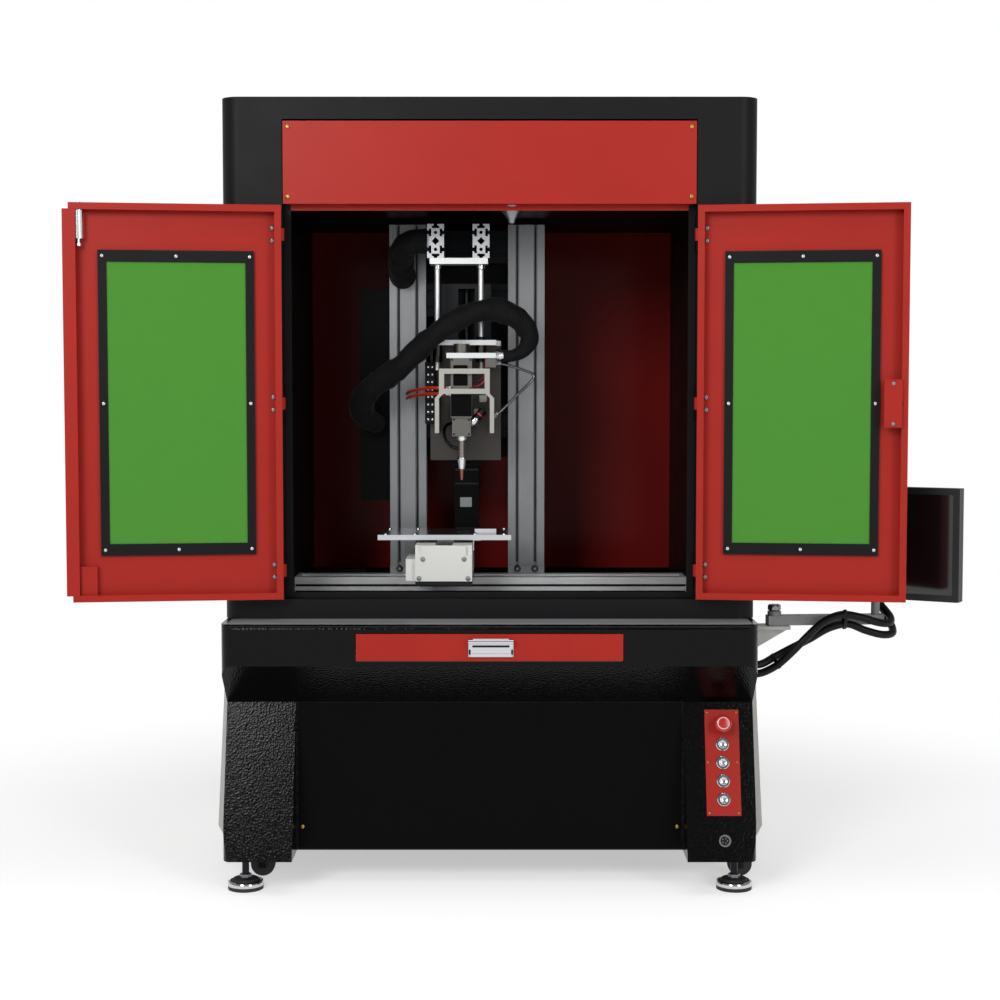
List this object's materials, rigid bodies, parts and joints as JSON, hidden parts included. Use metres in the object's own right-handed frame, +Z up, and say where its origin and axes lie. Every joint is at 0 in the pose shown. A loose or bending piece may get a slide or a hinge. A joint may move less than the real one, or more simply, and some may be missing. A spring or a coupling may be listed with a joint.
{
  "type": "fiber laser welding machine",
  "caption": "Free-standing fiber laser welding machine: black cabinet with red double doors and green windows, aluminium work cell, keyboard drawer and side monitor.",
  "frame": {"origin": "on the floor under the middle of the machine's bounding box with the doors open", "axes": "+X to the right along the front, +Y to the back, +Z up"},
  "size_m": [2.0054, 0.9875, 1.777],
  "materials": {
    "black_textured_paint": "satin",
    "black_paint": "satin",
    "red_paint": "satin",
    "red_gloss_paint": "gloss",
    "white_paint": "satin",
    "steel_plate": "satin",
    "steel": "satin",
    "zinc_steel": "satin",
    "chrome": "polished",
    "aluminium": "satin",
    "grey_aluminium": "satin",
    "dark_aluminium": "satin",
    "copper": "polished",
    "green_acrylic": "gloss",
    "black_plastic": "satin",
    "red_plastic": "gloss",
    "red_hose": "satin",
    "black_fabric": "matte",
    "black_rubber": "matte",
    "grey_paint": "satin"
  },
  "bodies": {
    "machine": {"base_shell": "black_textured_paint", "front_panel": "black_paint", "side_covers": "white_paint", "bed_plate": "steel_plate", "laser_source": "grey_paint", "control_unit": "black_paint", "cabinet_shell": "black_paint", "back_panel": "red_gloss_paint", "header_panel": "red_paint", "columns": "aluminium", "cross_beams": "aluminium", "column_brackets": "aluminium", "x_module": "aluminium", "z_module": "grey_aluminium", "axis_motors": "black_paint", "rod_hanger": "steel", "frame_hinges": "zinc_steel", "drawer_rails": "zinc_steel", "control_panel": "red_paint", "button_bezels": "chrome", "caster_plates": "zinc_steel", "foot_pads": "black_rubber", "arm_bracket": "white_paint", "fibre_sleeve": "black_fabric", "air_hoses": "red_hose", "monitor_cables": "black_rubber"},
    "left_door": {"left_door": "red_paint", "left_window": "green_acrylic", "left_window_frame": "black_paint", "left_latch": "chrome"},
    "latch_bolt": {"latch_bolt": "steel"},
    "right_door": {"right_door": "red_paint", "right_window": "green_acrylic", "right_window_frame": "black_paint"},
    "door_handle": {"door_handle": "black_plastic"},
    "drawer": {"drawer": "red_paint", "drawer_handle": "chrome"},
    "x_saddle": {"x_saddle": "dark_aluminium", "y_module": "white_paint"},
    "work_table": {"work_table": "aluminium"},
    "welding_head": {"z_carriage": "grey_aluminium", "head_bracket": "aluminium", "laser_head": "grey_aluminium", "nozzle": "steel", "nozzle_tip": "copper"},
    "emergency_stop": {"estop_head": "red_plastic"},
    "button_1": {"button_1": "steel"},
    "button_2": {"button_2": "steel"},
    "button_3": {"button_3": "steel"},
    "button_4": {"button_4": "steel"},
    "monitor_arm": {"monitor_arm": "grey_aluminium"},
    "monitor": {"monitor": "black_plastic"},
    "caster_fork_1": {"caster_fork_1": "zinc_steel"},
    "caster_wheel_1": {"caster_wheel_1": "black_rubber"},
    "caster_fork_2": {"caster_fork_2": "zinc_steel"},
    "caster_wheel_2": {"caster_wheel_2": "black_rubber"},
    "caster_fork_3": {"caster_fork_3": "zinc_steel"},
    "caster_wheel_3": {"caster_wheel_3": "black_rubber"},
    "caster_fork_4": {"caster_fork_4": "zinc_steel"},
    "caster_wheel_4": {"caster_wheel_4": "black_rubber"}
  },
  "joints": [
    {"name": "left_door_hinge", "type": "hinge", "parent": "machine", "child": "left_door", "pos_m": [-0.52666, -0.372, 1.096], "axis": [0, 0, 1], "range_deg": [0, 172.5]},
    {"name": "right_door_hinge", "type": "hinge", "parent": "machine", "child": "right_door", "pos_m": [0.39934, -0.372, 1.096], "axis": [0, 0, -1], "range_deg": [0, 172.5]},
    {"name": "latch_bolt_slide", "type": "slide", "parent": "left_door", "child": "latch_bolt", "axis": [0, 0, 1], "range_m": [0, 0.0095]},
    {"name": "door_handle_turn", "type": "hinge", "parent": "right_door", "child": "door_handle", "pos_m": [0.84132, -0.42414, 1.0965], "axis": [0.1305, 0.9914, 0], "range_deg": [0, 90]},
    {"name": "drawer_slide", "type": "slide", "parent": "machine", "child": "drawer", "axis": [0, -1, 0], "range_m": [0, 0.3]},
    {"name": "x_axis", "type": "slide", "parent": "machine", "child": "x_saddle", "axis": [1, 0, 0], "range_m": [-0.2, 0.36]},
    {"name": "y_axis", "type": "slide", "parent": "x_saddle", "child": "work_table", "axis": [0, 1, 0], "range_m": [-0.07, 0.03]},
    {"name": "z_axis", "type": "slide", "parent": "machine", "child": "welding_head", "axis": [0, 0, 1], "range_m": [-0.05, 0.06], "deforming": ["fibre_sleeve", "air_hoses"]},
    {"name": "emergency_stop_push", "type": "slide", "parent": "machine", "child": "emergency_stop", "axis": [0, 0.9598, -0.2806], "range_m": [0, 0.006], "stiffness_N_per_m": 900, "springref_m": -0.003},
    {"name": "button_1_push", "type": "slide", "parent": "machine", "child": "button_1", "axis": [0, 0.9598, -0.2806], "range_m": [0, 0.003], "stiffness_N_per_m": 600, "springref_m": -0.003},
    {"name": "button_2_push", "type": "slide", "parent": "machine", "child": "button_2", "axis": [0, 0.9598, -0.2806], "range_m": [0, 0.003], "stiffness_N_per_m": 600, "springref_m": -0.003},
    {"name": "button_3_push", "type": "slide", "parent": "machine", "child": "button_3", "axis": [0, 0.9598, -0.2806], "range_m": [0, 0.003], "stiffness_N_per_m": 600, "springref_m": -0.003},
    {"name": "button_4_push", "type": "slide", "parent": "machine", "child": "button_4", "axis": [0, 0.9598, -0.2806], "range_m": [0, 0.003], "stiffness_N_per_m": 600, "springref_m": -0.003},
    {"name": "monitor_arm_swing", "type": "hinge", "parent": "machine", "child": "monitor_arm", "pos_m": [0.60234, -0.216, 0.59], "axis": [0, 0, 1], "range_deg": [0, 45], "deforming": ["monitor_cables"]},
    {"name": "monitor_turn", "type": "hinge", "parent": "monitor_arm", "child": "monitor", "pos_m": [0.84342, -0.19491, 0.775], "axis": [0, 0, 1], "range_deg": [-25, 25]},
    {"name": "caster_swivel_1", "type": "hinge", "parent": "machine", "child": "caster_fork_1", "pos_m": [-0.61666, -0.286, 0.06], "axis": [0, 0, 1], "continuous": true},
    {"name": "caster_roll_1", "type": "hinge", "parent": "caster_fork_1", "child": "caster_wheel_1", "pos_m": [-0.59066, -0.286, 0.03], "axis": [0, 1, 0], "continuous": true},
    {"name": "caster_swivel_2", "type": "hinge", "parent": "machine", "child": "caster_fork_2", "pos_m": [0.48934, -0.286, 0.06], "axis": [0, 0, 1], "continuous": true},
    {"name": "caster_roll_2", "type": "hinge", "parent": "caster_fork_2", "child": "caster_wheel_2", "pos_m": [0.51534, -0.286, 0.03], "axis": [0, 1, 0], "continuous": true},
    {"name": "caster_swivel_3", "type": "hinge", "parent": "machine", "child": "caster_fork_3", "pos_m": [-0.61666, 0.334, 0.06], "axis": [0, 0, 1], "continuous": true},
    {"name": "caster_roll_3", "type": "hinge", "parent": "caster_fork_3", "child": "caster_wheel_3", "pos_m": [-0.59066, 0.334, 0.03], "axis": [0, 1, 0], "continuous": true},
    {"name": "caster_swivel_4", "type": "hinge", "parent": "machine", "child": "caster_fork_4", "pos_m": [0.48934, 0.334, 0.06], "axis": [0, 0, 1], "continuous": true},
    {"name": "caster_roll_4", "type": "hinge", "parent": "caster_fork_4", "child": "caster_wheel_4", "pos_m": [0.51534, 0.334, 0.03], "axis": [0, 1, 0], "continuous": true}
  ]
}
